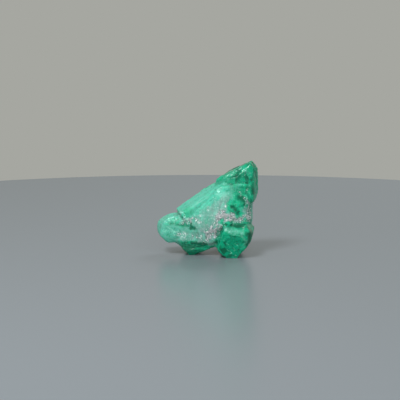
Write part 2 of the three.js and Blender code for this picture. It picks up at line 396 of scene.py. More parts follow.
PATCHES: tuple[Patch, ...] = (
    # the cap: a dark block with a crack down it, pale streaks, a saturated band and a dark wedge
    Patch(Zone.DEEP, (3.7, -2.8, 14.1), (5.4, -2.8, 15.2), 1.2, 0.5),
    Patch(Zone.SHADE, (4.4, -2.8, 15.7), (4.6, -2.9, 13.7), 0.42, 0.6),
    Patch(Zone.SHADE, (3.4, -2.8, 13.7), (5.9, -2.9, 13.6), 0.38, 0.4),
    Patch(Zone.SHADE, (3.4, -2.7, 14.8), (4.2, -2.8, 15.3), 0.4, 0.45),
    Patch(Zone.DEEP, (6.0, -2.8, 16.3), (7.1, -2.8, 15.1), 0.8, -0.6),
    Patch(Zone.MILK, (6.0, -2.8, 15.9), (7.0, -2.8, 15.2), 0.45, 0.7),
    Patch(Zone.CREST, (5.2, -2.8, 15.5), (5.9, -2.8, 15.3), 0.2, 0.6),
    Patch(Zone.DEEP, (5.4, -2.9, 14.4), (8.0, -2.6, 14.1), 0.8, 0.5),
    Patch(Zone.DEEP, (1.2, -1.6, 13.8), (2.4, -2.2, 14.0), 0.8, 0.6),
    Patch(Zone.SHADE, (1.3, -1.4, 13.5), (2.2, -1.8, 13.8), 0.6, 0.45),
    Patch(Zone.SHADE, (4.2, -2.6, 14.9), (5.0, -2.7, 14.3), 1.1, 0.75),
    Patch(Zone.SHADE, (2.2, -2.3, 13.9), (3.4, -2.6, 14.2), 0.9, 0.6),
    Patch(Zone.DEEP, (1.2, 1.5, 13.6), (6.6, 2.0, 16.6), 1.0, 0.7),
    Patch(Zone.DEEP, (2.4, -1.5, 14.4), (5.6, -1.8, 16.0), 0.5, -0.3),
    Patch(Zone.MILK, (2.4, -1.5, 14.4), (5.6, -1.8, 16.0), 0.5, 0.5),
    # painted glints: bright dashes along the cap's ridge and spots on its face
    Patch(Zone.CREST, (3.0, -1.5, 14.75), (3.5, -1.6, 15.0), 0.35, 1.0),
    Patch(Zone.CREST, (3.9, -1.6, 15.2), (4.7, -1.7, 15.6), 0.4, 1.0),
    Patch(Zone.CREST, (5.2, -1.8, 15.85), (5.8, -1.8, 16.15), 0.35, 1.0),
    Patch(Zone.CREST, (3.6, -2.5, 14.3), (4.0, -2.6, 14.4), 0.25, 0.8),
    Patch(Zone.CREST, (5.9, -2.7, 14.6), (6.3, -2.8, 14.9), 0.22, 0.7),
    Patch(Zone.CREST, (7.0, -2.7, 14.9), (7.3, -2.7, 14.6), 0.22, 0.6),
    Patch(Zone.DEEP, (8.6, -1.5, 15.4), (8.9, -1.5, 13.2), 1.1, 0.3),
    # green that bleeds into the middle below the cap
    Patch(Zone.DEEP, (6.8, -2.8, 12.8), (8.2, -2.0, 11.6), 1.9, 0.9),
    Patch(Zone.SHADE, (3.8, -3.0, 12.6), (5.8, -3.0, 12.0), 1.4, 0.45),
    Patch(Zone.SHADE, (5.4, -3.0, 12.8), (7.0, -2.8, 12.6), 0.4, 0.35),
    Patch(Zone.DEEP, (5.6, -3.0, 11.1), (6.2, -3.0, 10.4), 1.1, 0.9),
    Patch(Zone.SHADE, (5.2, -3.1, 10.9), (6.0, -3.1, 10.2), 0.9, 0.8),
    Patch(Zone.DEEP, (4.2, -3.3, 9.5), (5.2, -3.2, 7.9), 1.0, 0.9),
    Patch(Zone.SHADE, (4.3, -3.4, 9.2), (5.0, -3.3, 8.0), 0.7, 0.7),
    Patch(Zone.SHADE, (6.6, -2.9, 11.6), (7.2, -2.8, 11.0), 0.45, 0.5),
    Patch(Zone.SUGAR, (5.0, -3.0, 12.0), (7.0, -2.8, 9.8), 1.0, 0.4),
    # the blunt crystal: a dark stripe along its edge and a green lower end
    Patch(Zone.DEEP, (-7.4, -2.2, 6.1), (-4.2, -2.4, 5.8), 0.7, 0.9),
    Patch(Zone.DEEP, (-7.0, -2.0, 6.7), (-5.2, -2.0, 7.0), 0.5, 0.8),
    Patch(Zone.MILK, (-6.4, -2.0, 7.0), (-5.2, -2.0, 7.2), 0.6, -0.6),
    Patch(Zone.CREST, (-7.9, -2.0, 5.6), (-7.5, -2.1, 5.2), 0.3, 0.5),
    Patch(Zone.CREST, (-6.7, -2.1, 4.1), (-6.0, -2.1, 3.9), 0.35, 0.6),
    Patch(Zone.CREST, (-7.3, -2.1, 4.9), (-6.9, -2.1, 4.8), 0.25, 0.5),
    Patch(Zone.DEEP, (-7.7, -1.8, 4.0), (-7.2, -1.8, 3.2), 0.7, 0.3),
    Patch(Zone.MILK, (-7.9, -2.0, 4.9), (-5.0, -2.3, 4.7), 0.7, 0.6),
    Patch(Zone.DEEP, (-7.9, -2.0, 4.9), (-5.0, -2.3, 4.7), 0.7, -0.4),
    Patch(Zone.MILK, (-7.9, -1.8, 3.4), (-6.8, -1.9, 2.9), 0.6, 0.5),
    Patch(Zone.CREST, (-6.4, -2.2, 4.0), (-4.6, -2.6, 3.4), 0.9, 0.6),
    Patch(Zone.MILK, (-8.6, -1.8, 5.4), (-8.0, -2.0, 5.0), 0.7, 0.6),
    Patch(Zone.ROCK, (-6.6, -2.6, 3.8), (-4.4, -2.6, 3.4), 1.3, 0.6),
    Patch(Zone.CREST, (-4.9, -2.4, 4.2), (-4.7, -2.4, 4.1), 0.45, 0.9),
    Patch(Zone.SHADE, (-7.0, -2.2, 5.8), (-4.0, -2.4, 5.6), 0.5, 0.5),
    Patch(Zone.MILK, (-7.4, -2.2, 6.2), (-4.6, -2.4, 6.0), 0.7, -0.5),
    # the long prism's free end, its darker upper edge, and its lower side, which fades into the middle
    Patch(Zone.DEEP, (-5.2, 1.2, 10.0), (1.2, 1.6, 13.2), 1.1, 0.9),
    Patch(Zone.MILK, (-5.2, 1.2, 10.0), (1.2, 1.6, 13.2), 1.1, -0.9),
    Patch(Zone.ROCK, (-3.2, -2.6, 8.2), (2.6, -2.8, 12.4), 1.3, -0.8),
    Patch(Zone.MILK, (-3.2, -2.6, 8.2), (2.6, -2.8, 12.4), 1.3, 0.4),
    Patch(Zone.DEEP, (-5.2, -2.0, 9.4), (-4.0, -2.2, 8.0), 1.4, 0.8),
    Patch(Zone.MILK, (-5.2, -2.0, 9.4), (-4.0, -2.2, 8.0), 1.4, -0.5),
    # the dark foot reaches up into the flank
    Patch(Zone.DEEP, (-4.6, -2.4, 2.0), (-0.5, -2.9, 2.4), 1.0, 0.9),
    Patch(Zone.DEEP, (-2.6, -2.6, 1.6), (-2.2, -2.6, 1.3), 0.6, -0.5),
    Patch(Zone.SHADE, (-3.6, -2.4, 1.7), (-2.0, -2.5, 0.9), 0.45, 0.4),
    Patch(Zone.SHADE, (-4.4, -2.8, 1.4), (-1.0, -3.1, 1.8), 1.2, 0.55),
    Patch(Zone.CREST, (-3.4, -2.8, 1.9), (-2.9, -2.8, 1.7), 0.3, 0.4),
    # the front crystal: dark rims, painted shade down its right side, a pale band, a saturated heart, and
    # scratches near its foot
    Patch(Zone.DEEP, (2.4, -5.0, 6.5), (8.0, -4.6, 6.4), 0.55, 0.8),
    Patch(Zone.SHADE, (2.4, -5.2, 6.4), (7.6, -4.9, 6.3), 0.42, 0.8),
    Patch(Zone.DEEP, (2.8, -5.3, 5.6), (5.6, -5.3, 4.9), 0.9, -0.4),
    Patch(Zone.MILK, (2.8, -5.4, 5.4), (5.8, -5.4, 4.7), 0.9, 0.9),
    Patch(Zone.SHADE, (1.9, -4.2, 5.6), (1.3, -4.0, 2.6), 0.5, 0.6),
    # a painted glint at the top of the pale band
    Patch(Zone.CREST, (2.9, -5.4, 5.4), (3.4, -5.4, 5.2), 0.5, 1.0),
    Patch(Zone.CREST, (4.0, -5.5, 5.2), (6.0, -5.5, 4.4), 0.8, 0.3),
    # painted shade down the right rim, the side turned from the light
    Patch(Zone.DEEP, (8.0, -4.2, 6.2), (7.2, -4.2, 2.8), 0.9, 0.6),
    Patch(Zone.SHADE, (8.0, -4.6, 6.6), (7.7, -4.8, 4.4), 1.4, 1.0),
    Patch(Zone.SHADE, (8.3, -3.2, 6.4), (8.0, -3.2, 4.6), 1.2, 0.9),
    Patch(Zone.SHADE, (7.7, -4.8, 4.4), (6.8, -4.9, 2.4), 0.9, 1.0),
    Patch(Zone.SHADE, (2.0, -4.4, 5.4), (1.6, -4.4, 3.6), 0.6, 0.6),
    Patch(Zone.MILK, (5.6, -5.5, 4.7), (6.5, -5.4, 3.1), 0.4, 0.8),
    Patch(Zone.MILK, (6.5, -5.4, 3.1), (5.8, -5.1, 1.9), 0.4, 0.8),
    Patch(Zone.DEEP, (2.0, -5.0, 1.6), (5.0, -5.0, 1.2), 1.3, 0.25),
    Patch(Zone.CREST, (2.9, -5.3, 2.9), (4.4, -5.3, 1.7), 0.16, 0.7),
    Patch(Zone.CREST, (3.2, -5.3, 1.6), (4.7, -5.2, 0.5), 0.14, 0.8),
    Patch(Zone.CREST, (4.6, -5.3, 1.6), (3.4, -5.2, 0.6), 0.14, 0.8),
    Patch(Zone.CREST, (4.4, -5.3, 2.9), (5.2, -5.3, 2.2), 0.14, 0.6),
    # the pale glow above the middle and the soft upright bands in it
    Patch(Zone.MILK, (0.8, -2.9, 12.6), (2.4, -2.8, 11.2), 1.2, 0.8),
    Patch(Zone.MILK, (2.6, -3.1, 12.0), (2.3, -3.3, 9.0), 0.5, 0.7),
    Patch(Zone.MILK, (-0.6, -3.0, 9.4), (-1.4, -3.1, 7.2), 0.7, 0.5),
    # the sugary seam that runs down beside the front crystal
    Patch(Zone.SUGAR, (5.4, -3.3, 7.1), (1.8, -4.2, 7.9), 1.7, 0.7),
    Patch(Zone.SUGAR, (2.6, -4.1, 7.3), (0.7, -4.1, 4.8), 1.8, 0.7),
    Patch(Zone.SUGAR, (0.7, -3.9, 4.6), (-0.8, -3.4, 3.4), 1.7, 0.5),
    Patch(Zone.SUGAR, (-3.0, -3.0, 3.6), (-0.6, -3.4, 4.4), 1.3, 0.2),
    # frost where the blunt crystal meets the long prism, and along its upper edge
    Patch(Zone.CREST, (-8.2, -1.6, 6.3), (-6.8, -1.6, 7.1), 0.4, 0.8),
    Patch(Zone.CREST, (-6.8, -1.6, 7.1), (-5.4, -1.9, 7.9), 0.45, 1.0),
    Patch(Zone.CREST, (-7.4, -2.1, 6.1), (-6.2, -2.1, 6.7), 0.3, 0.7),
    Patch(Zone.CREST, (-5.4, -2.1, 6.9), (-4.2, -2.5, 6.5), 0.8, 1.0),
    Patch(Zone.CREST, (-7.9, -1.9, 4.7), (-5.6, -2.2, 4.4), 1.1, 0.4),
    Patch(Zone.CREST, (-8.7, -1.4, 5.6), (-8.5, -1.6, 4.6), 0.35, 0.5),
    Patch(Zone.CREST, (0.8, -2.9, 12.6), (2.0, -2.9, 11.4), 0.9, 0.3),
    Patch(Zone.SUGAR, (-5.8, -1.6, 8.0), (-4.3, -2.6, 6.5), 1.2, 1.0),
    Patch(Zone.SUGAR, (-8.4, -1.4, 6.6), (-5.8, -2.0, 7.4), 1.1, 0.6),
    Patch(Zone.SUGAR, (-7.8, -2.0, 6.3), (-4.0, -2.4, 6.3), 0.7, 0.5),
    Patch(Zone.SUGAR, (-3.8, -2.8, 6.9), (-1.8, -3.1, 6.7), 0.8, 0.5),
    # broken specks under the long prism and below the cap
    Patch(Zone.SUGAR, (-2.8, -2.8, 7.6), (0.9, -3.0, 10.8), 0.9, 0.35),
    Patch(Zone.SUGAR, (0.6, -2.8, 11.0), (2.2, -2.8, 13.0), 0.8, 0.4),
    # the pit where the blunt crystal meets the middle, and the shaded right side
    Patch(Zone.SHADE, (-3.6, -2.8, 6.1), (-3.5, -2.8, 5.5), 0.55, 1.0),
    Patch(Zone.SHADE, (-3.5, -2.8, 5.3), (-2.9, -2.8, 5.1), 0.55, 1.0),
    Patch(Zone.SHADE, (-3.8, -2.8, 5.0), (-3.7, -2.8, 4.9), 0.4, 0.9),
    Patch(Zone.SHADE, (7.4, -2.4, 9.8), (7.3, -2.4, 6.8), 1.4, 0.58),
    Patch(Zone.SHADE, (-2.6, -3.1, 4.2), (-0.6, -3.3, 3.6), 1.2, 0.2),
    Patch(Zone.SUGAR, (7.0, -2.6, 9.6), (7.2, -2.4, 7.0), 1.5, 0.55),
    # the far sides: sugary seams, pale and dark zones and cracks
    Patch(Zone.SUGAR, (7.9, -1.0, 9.9), (7.7, 2.4, 8.6), 1.2, 0.8),
    Patch(Zone.SUGAR, (7.2, 3.0, 8.0), (5.6, 4.1, 3.6), 1.3, 0.7),
    Patch(Zone.SUGAR, (-2.8, 3.5, 5.8), (0.8, 4.5, 3.6), 1.2, 0.9),
    Patch(Zone.SUGAR, (-4.0, 2.6, 7.8), (-1.0, 3.4, 9.2), 0.9, 0.8),
    Patch(Zone.SUGAR, (2.4, 3.3, 12.0), (5.4, 3.3, 12.6), 0.9, 0.9),
    Patch(Zone.DEEP, (-4.0, 2.8, 6.6), (-0.8, 3.3, 9.4), 1.2, 0.7),
    Patch(Zone.MILK, (-4.0, 2.8, 6.6), (-0.8, 3.3, 9.4), 1.2, -0.6),
    Patch(Zone.MILK, (7.2, 3.2, 14.6), (4.6, 3.2, 13.6), 1.2, 0.7),
    Patch(Zone.SHADE, (7.4, 2.6, 15.2), (6.4, 3.4, 12.8), 0.35, 0.6),
    Patch(Zone.MILK, (3.4, 5.0, 4.6), (2.2, 5.2, 7.4), 0.8, 0.8),
    Patch(Zone.SHADE, (1.4, 4.8, 5.6), (0.6, 5.0, 8.4), 0.35, 0.6),
    Patch(Zone.MILK, (4.0, 5.4, 2.4), (5.2, 5.2, 1.2), 0.8, 0.7),
    Patch(Zone.CREST, (-6.0, 1.0, 8.2), (-4.6, 3.2, 5.6), 0.4, 0.8),
    Patch(Zone.CREST, (-8.4, 1.4, 6.4), (-8.2, 2.4, 4.6), 0.4, 0.7),
    Patch(Zone.MILK, (8.8, 0.6, 14.8), (8.8, 1.2, 12.8), 1.0, 0.7),
    Patch(Zone.SHADE, (8.8, -0.6, 15.2), (8.8, 0.8, 12.6), 0.35, 0.5),
    Patch(Zone.MILK, (7.8, -2.6, 4.6), (7.6, 0.6, 3.4), 0.9, 0.6),
    # places that weather has rounded more than the rest of their mass
    Patch(Zone.WEAR, (8.4, -1.8, 16.4), (8.8, -1.6, 10.4), 1.8, 0.8),
    Patch(Zone.WEAR, (-4.0, -2.4, 7.4), (3.0, -2.6, 12.8), 0.9, 0.6),
    Patch(Zone.WEAR, (-6.4, -2.0, 3.4), (-4.4, -2.2, 2.8), 1.4, 1.0),
    # single bright chips
    *(
        Patch(Zone.CREST, spot, spot, 0.36, 1.0)
        for spot in (
            (1.9, -2.8, 13.0), (1.3, -3.0, 11.9), (0.5, -3.1, 10.7), (2.8, -3.4, 9.4), (1.3, -3.3, 8.9),
            (-0.2, -3.1, 8.5), (-1.8, -3.0, 7.6), (2.9, -4.0, 7.1), (1.1, -4.2, 6.3), (0.9, -4.1, 5.0),
            (-2.0, -3.0, 6.4), (5.6, -3.1, 11.8), (6.9, -2.9, 12.3),
        )
    ),
)


def falloff(distance: np.ndarray, radius: float) -> np.ndarray:
    """Returns a value that falls smoothly from 1 at no distance to 0 at the radius."""
    share = np.clip(1 - distance / radius, 0, 1)
    return share * share * (3 - 2 * share)


def capsule_distance(points: np.ndarray, start: Point, end: Point) -> np.ndarray:
    """Measures how far points are from a line.

    Args:
        points: The points, one a row.
        start: One end of the line.
        end: Its other end.

    Returns:
        The distances.
    """
    along = np.subtract(end, start)
    share = (points - start) @ along / max(along @ along, 1e-9)
    nearest = np.array(start) + np.clip(share, 0, 1)[:, None] * along
    return np.linalg.norm(points - nearest, axis=1)


# ------------------------------------------------------------------ the stone


def vectors(mesh: bpy.types.Mesh, field: str) -> np.ndarray:
    """Reads each vertex's place or normal, one a row."""
    flat = np.empty(len(mesh.vertices) * 3)
    mesh.vertices.foreach_get(field, flat)
    return flat.reshape(-1, 3)


def shift(mesh: bpy.types.Mesh, points: np.ndarray) -> None:
    """Puts the vertices at new places."""
    mesh.vertices.foreach_set("co", points.ravel())
    mesh.update()


def stored(mesh: bpy.types.Mesh, zone: Zone) -> np.ndarray:
    """Reads a zone that is stored on a mesh, one value a vertex."""
    values = np.empty(len(mesh.vertices))
    mesh.attributes[zone.value].data.foreach_get("value", values)
    return values


@dataclass(frozen=True)
class Grit:
    """Rough facets: the space is split in cells, each with a face tilted its own way."""

    cell: float
    height: float
    tilting: float = 1.4
    tilt_step: float = 7.3
    level_step: float = 3.1

    def lift(self, point: Vector) -> float:
        """Measures the facets' height at a point.

        Args:
            point: Where, in millimetres.

        Returns:
            The height in millimetres, above or below the plain surface.
        """
        spot = point / self.cell
        near = noise.voronoi(spot)[1][0]
        tilt = noise.noise_vector(near * self.tilt_step)
        level = noise.cell(near * self.level_step) - 0.5
        return self.height * (level + self.tilting * tilt.dot(spot - near))


@dataclass
class Survey:
    """What the masses say about each vertex of the skin."""

    owner: np.ndarray
    growth: np.ndarray
    zones: dict[Zone, np.ndarray]


@dataclass
class Stone:
    """The whole specimen as one weathered surface."""

    masses: tuple[Mass, ...]
    patches: tuple[Patch, ...]
    voxel: float = 0.104
    seed: int = 3
    seam_width: float = 0.5
    blend_width: float = 0.2
    stain_width: float = 0.4
    edge_width: float = 0.32
    foot_height: float = 0.25
    floor_share: float = 0.6
    seam_wear: float = 0.8
    wear_rounds: int = 30
    broad_rounds: int = 30
    fine_rounds: int = 3
    hollow_depth: float = 0.07
    crest_height: float = 0.012
    crest_share: float = 0.35
    fine_drift: float = 0.35
    fine_stroke: float = 0.6
    fold_width: float = 0.0001
    swell_scale: float = 0.42
    swell_height: float = 0.08
    rock_swell: float = 0.12
    ripple_scale: float = 1.5
    ripple_height: float = 0.015
    rock_ripple: float = 0.04
    groove_scale: Point = (3.4, 3.4, 0.22)
    groove_depth: float = 0.03
    chip_wear: float = 0.03
    milk_wear: float = 0.04
    shade_dip: float = 0.15
    open_grit: float = 0.2
    seam_grit: float = 0.5
    faintest: float = 0.02
    least_break: float = 0.05
    rock_grit: Grit = Grit(0.6, 0.035)
    sugar_grit: Grit = Grit(0.38, 0.1)
    chip_grit: Grit = Grit(0.9, 0.2)
    break_grit: Grit = Grit(1.3, 0.07)

    def merged(self) -> bpy.types.Mesh:
        """Joins the masses and remeshes them to one even skin.

        Returns:
            The skin, in millimetres.
        """
        together = bmesh.new()
        scratch = bpy.data.meshes.new("mass")
        for mass in self.masses:
            shape = mass.build()
            log.info("%s: %d faces", mass.name, len(shape.faces))
            shape.to_mesh(scratch)
            together.from_mesh(scratch)
            shape.free()
        together.to_mesh(scratch)
        together.free()
        block = bpy.data.objects.new("masses", scratch)
        bpy.context.collection.objects.link(block)
        skin = block.modifiers.new("skin", "REMESH")
        skin.mode = "VOXEL"
        skin.voxel_size = self.voxel
        ready = block.evaluated_get(bpy.context.evaluated_depsgraph_get())
        mesh = bpy.data.meshes.new_from_object(ready)
        bpy.data.objects.remove(block)
        bpy.data.meshes.remove(scratch)
        return mesh

    def depths(self, points: np.ndarray) -> tuple[np.ndarray, np.ndarray]:
        """Measures each point against each mass.

        Args:
            points: The points, one a row.

        Returns:
            The distance outside each mass, and how far the point is from that mass's nearest edge.
        """
        outside, edges = [], []
        for mass in self.masses:
            walls = mass.walls()
            reach = np.sort(points @ walls[:, :3].T - walls[:, 3], axis=1)
            outside.append(reach[:, -1])
            edges.append(reach[:, -1] - reach[:, -2])
        return np.array(outside).T, np.array(edges).T

    def survey(self, points: np.ndarray) -> Survey:
        """Works out which mass owns each vertex, and its zones.

        Args:
            points: The skin's vertices.

        Returns:
            The survey.
        """
        outside, edges = self.depths(points)
        order = np.sort(outside, axis=1)
        owner = np.argmin(outside, axis=1)
        wear = self.shares(outside, self.blend_width) @ np.array([mass.worn for mass in self.masses])
        turns = np.array([mass.axis() for mass in self.masses])
        drift = np.array([self.drift(Vector(point)) for point in points])
        wandered = points + drift
        shares = self.shares(self.depths(wandered)[0], self.stain_width)
        edge = np.take_along_axis(edges, owner[:, None], axis=1)[:, 0]
        zones = {
            Zone.DEEP: shares @ np.array([mass.deep for mass in self.masses]),
            Zone.ROCK: shares @ np.array([mass.habit is Habit.MASSIVE for mass in self.masses], float),
            Zone.MILK: shares @ np.array([mass.habit is Habit.MILKY for mass in self.masses], float),
            Zone.EDGE: falloff(edge, self.edge_width),
            Zone.SEAM: falloff(order[:, 1] - order[:, 0], self.seam_width),
            Zone.SUGAR: np.zeros(len(points)),
            Zone.SHADE: np.zeros(len(points)),
            Zone.CREST: np.zeros(len(points)),
            Zone.WEAR: wear,
        }
        for patch in self.patches:
            strays = self.fine_drift if patch.zone in (Zone.CREST, Zone.SHADE) else 1.0
            ends = [patch.start, patch.end]
            if patch.radius < self.fine_stroke:
                ends = [points[np.argmin(np.linalg.norm(points - end, axis=1))] for end in ends]
            away = capsule_distance(points + strays * drift, *ends)
            zones[patch.zone] = zones[patch.zone] + patch.strength * falloff(away, patch.radius)
        zones[Zone.SUGAR] = zones[Zone.SUGAR] * np.array([self.clump(Vector(point)) for point in points])
        growth = np.einsum("nij,nj->ni", turns[owner], points)
        return Survey(owner, growth, {z: np.clip(v, 0, z.ceiling) for z, v in zones.items()})

    @staticmethod
    def shares(outside: np.ndarray, width: float) -> np.ndarray:
        """Shares each vertex among the masses that lie within a width of its own."""
        weights = np.exp((outside.min(axis=1, keepdims=True) - outside) / width)
        return weights / weights.sum(axis=1, keepdims=True)

    @staticmethod
    def clump(point: Vector) -> float:
        """Returns how thickly sugar gathers at a point, because it lies in clumps and threads."""
        ridge = 1 - 2.2 * abs(noise.noise(Vector((point.x * 1.1, point.y * 1.1, point.z * 0.8))))
        return min(max(0.25 + 1.1 * ridge + 0.9 * noise.noise(point * 2.3), 0), 1.2)

    @staticmethod
    def drift(point: Vector) -> Vector:
        """Returns how far a zone's border strays at a point, so that no border runs straight."""
        return noise.noise_vector(point * 0.8) * 0.5 + noise.noise_vector(point * 2.6) * 0.22

    @staticmethod
    def relax(
        points: np.ndarray, mesh: bpy.types.Mesh, share: np.ndarray | float, rounds: int
    ) -> np.ndarray:
        """Rounds the skin, as wear does, by pulling each vertex towards its neighbours.

        Args:
            points: The vertices.
            mesh: The mesh that says which vertices are neighbours.
            share: How strongly each vertex is pulled, from 0 to 1.
            rounds: How many times.

        Returns:
            The rounded vertices.
        """
        ends = np.empty(len(mesh.edges) * 2, int)
        mesh.edges.foreach_get("vertices", ends)
        first, second = ends.reshape(-1, 2).T
        rounded, count = points.copy(), len(points)
        joins = np.bincount(ends, minlength=count)
        pull = 0.5 * np.clip(share, 0, 1)
        for _ in range(rounds):
            for axis in range(3):
                line = rounded[:, axis]
                near = np.bincount(first, line[second], count) + np.bincount(second, line[first], count)
                line += pull * (near / joins - line)
        return rounded

    def relief(self, mesh: bpy.types.Mesh, zones: dict[Zone, np.ndarray]) -> None:
        """Stores where the finished skin dips below its surroundings, which the shaders darken as painted
        shade, and where it stands out.

        Args:
            mesh: The skin, in millimetres.
            zones: The zones, whose hollows and crests are set.
        """
        points, normals = vectors(mesh, "co"), vectors(mesh, "normal")
        broad = ((self.relax(points, mesh, 1.0, self.broad_rounds) - points) * normals).sum(axis=1)
        fine = ((self.relax(points, mesh, 1.0, self.fine_rounds) - points) * normals).sum(axis=1)
        # painted shade: the deepest hollows are darkened fully
        zones[Zone.HOLLOW] = np.clip(broad / self.hollow_depth, 0, 1)
        sharp = np.clip(-fine / self.crest_height, 0, 1)
        zones[Zone.CREST] = np.clip(zones[Zone.CREST] + self.crest_share * sharp * zones[Zone.ROCK], 0, 1)

    def weather(self, points: np.ndarray, survey: Survey) -> np.ndarray:
        """Works out how far each vertex moves along its normal.

        Args:
            points: The skin's vertices.
            survey: Their zones and their places on their masses' growth axes.

        Returns:
            The moves in millimetres.
        """
        moves = np.zeros(len(points))
        zones, growth = survey.zones, survey.growth
        rock, sugar, milk = zones[Zone.ROCK], zones[Zone.SUGAR], zones[Zone.MILK]
        edge, seam, shade = zones[Zone.EDGE], zones[Zone.SEAM], zones[Zone.SHADE]
        for i, place in enumerate(points):
            spot = Vector(place)
            swell = noise.noise(spot * self.swell_scale)
            ripple = noise.fractal(spot * self.ripple_scale, 0.9, 2.0, 3)
            groove = noise.noise(Vector(growth[i] * self.groove_scale))
            solid = 1 - rock[i]
            move = swell * (self.swell_height + self.rock_swell * rock[i])
            move += ripple * (self.ripple_height + self.rock_ripple * rock[i])
            move -= self.groove_depth * abs(groove) * solid
            open_seam = self.seam_grit * seam[i]
            gritty = max(rock[i] * (self.open_grit + open_seam), open_seam)
            if gritty > self.faintest:
                move += gritty * self.rock_grit.lift(spot)
            if sugar[i] > self.faintest:
                move += sugar[i] * self.sugar_grit.lift(spot)
            if solid * (1 - milk[i]) > self.least_break:
                move += solid * (1 - milk[i]) * self.break_grit.lift(spot)
            if edge[i] > self.faintest:
                chip = self.chip_grit.lift(spot)
                move -= edge[i] * solid * (self.chip_wear + max(chip, 0))
            move -= self.shade_dip * shade[i] + self.milk_wear * milk[i] * edge[i]
            moves[i] = move
        return moves

    def fitted(self, points: np.ndarray) -> np.ndarray:
        """Brings the weathered skin to the frame's own box, in metres.

        Args:
            points: The vertices, in millimetres.

        Returns:
            The vertices in metres, with flat feet.
        """
        low, high = np.array(CAD_BOX[0]), np.array(CAD_BOX[1])
        own_low, own_high = points.min(axis=0), points.max(axis=0)
        return low + (points - own_low) / (own_high - own_low) * (high - low)

    def build(self) -> bpy.types.Object:
        """Makes the stone's mesh with its zones, its faces' finishes and its true size.

        Returns:
            The stone's object.
        """
        noise.seed_set(self.seed)
        mesh = self.merged()
        mesh.name = "emerald_stone"
        points = vectors(mesh, "co")
        survey = self.survey(points)
        zones = survey.zones
        grounded = falloff(points[:, 2], self.foot_height)
        share = np.maximum(zones[Zone.WEAR], self.seam_wear * zones[Zone.SEAM]) * (1 - grounded)
        rounded = self.relax(points, mesh, share, self.wear_rounds)
        shift(mesh, rounded)
        moves = self.weather(points, survey) * (1 - grounded)
        shaped = rounded + vectors(mesh, "normal") * moves[:, None]
        floor = self.voxel * self.floor_share
        shaped[:, 2] = np.where(points[:, 2] < floor, 0, np.maximum(shaped[:, 2], 0))
        shift(mesh, shaped)
        self.relief(mesh, zones)
        shift(mesh, self.fitted(shaped))
        for zone, values in zones.items():
            layer = mesh.attributes.new(zone.value, "FLOAT", "POINT")
            layer.data.foreach_set("value", values)
        layer = mesh.attributes.new("growth", "FLOAT_VECTOR", "POINT")
        layer.data.foreach_set("vector", survey.growth.ravel())
        self.assign_finishes(mesh, survey.owner)
        self.close_folds(mesh)
        mesh.shade_smooth()
        stone = bpy.data.objects.new("emerald_stone", mesh)
        bpy.context.collection.objects.link(stone)
        return stone

    def close_folds(self, mesh: bpy.types.Mesh) -> None:
        """Merges the corners that the flattening of the feet brings together.

        Args:
            mesh: The stone's mesh, in metres.
        """
        skin = bmesh.new()
        skin.from_mesh(mesh)
        bmesh.ops.remove_doubles(skin, verts=skin.verts, dist=self.fold_width * MM)
        skin.to_mesh(mesh)
        skin.free()

    def assign_finishes(self, mesh: bpy.types.Mesh, owner: np.ndarray) -> None:
        """Gives each face the finish of the mass that owns its first corner."""
        habits = np.array([mass.habit.value for mass in self.masses])[owner]
        starts = np.empty(len(mesh.polygons), int)
        mesh.polygons.foreach_get("loop_start", starts)
        corners = np.empty(len(mesh.loops), int)
        mesh.loops.foreach_get("vertex_index", corners)
        mesh.polygons.foreach_set("material_index", habits[corners[starts]])


# ------------------------------------------------------------------ shaders


def tone(hex_code: int) -> tuple[float, float, float, float]:
    """Turns a display colour into the linear values that a shader takes.

    Args:
        hex_code: The colour as 0xRRGGBB.

    Returns:
        Linear red, green, blue and an alpha of 1.
    """
    shares = [((hex_code >> shift) & 255) / 255 for shift in (16, 8, 0)]
    linear = [s / 12.92 if s <= 0.04045 else ((s + 0.055) / 1.055) ** 2.4 for s in shares]
    return (*linear, 1.0)


